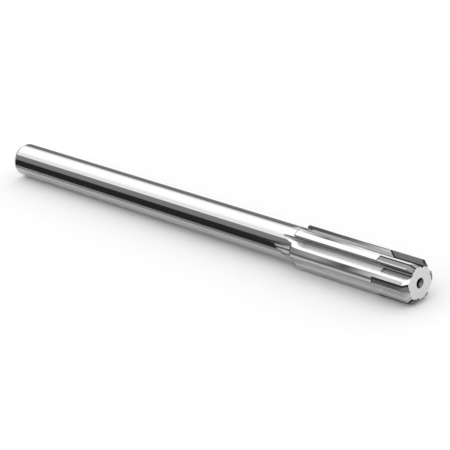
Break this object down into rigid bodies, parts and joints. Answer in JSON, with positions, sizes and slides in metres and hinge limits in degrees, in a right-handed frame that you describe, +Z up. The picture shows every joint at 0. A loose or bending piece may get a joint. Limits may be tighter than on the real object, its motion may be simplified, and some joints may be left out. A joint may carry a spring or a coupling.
{
  "type": "machine reamer",
  "caption": "Straight-flute machine reamer with a plain round shank and carbide tips brazed into the teeth at its chamfered cutting end, for sizing drilled holes.",
  "frame": {"origin": "on the tool's axis at the shank's rear face, in the mouth of the rear centre hole", "axes": "+X along the tool's axis from the shank to the cutting end, +Z up as the reamer lies at rest on the tips of two neighbouring teeth"},
  "size_m": [0.2286, 0.0174, 0.0162],
  "materials": {
    "ground_steel": "bright, ground and polished",
    "carbide": "fine ground, dark grey",
    "braze": "heat-darkened braze"
  },
  "bodies": {
    "root": {"reamer_body": "ground_steel", "carbide_tip_1": "carbide", "carbide_tip_2": "carbide", "carbide_tip_3": "carbide", "carbide_tip_4": "carbide", "carbide_tip_5": "carbide", "carbide_tip_6": "carbide", "braze_seam_1": "braze", "braze_seam_2": "braze", "braze_seam_3": "braze", "braze_seam_4": "braze", "braze_seam_5": "braze", "braze_seam_6": "braze"}
  },
  "joints": []
}
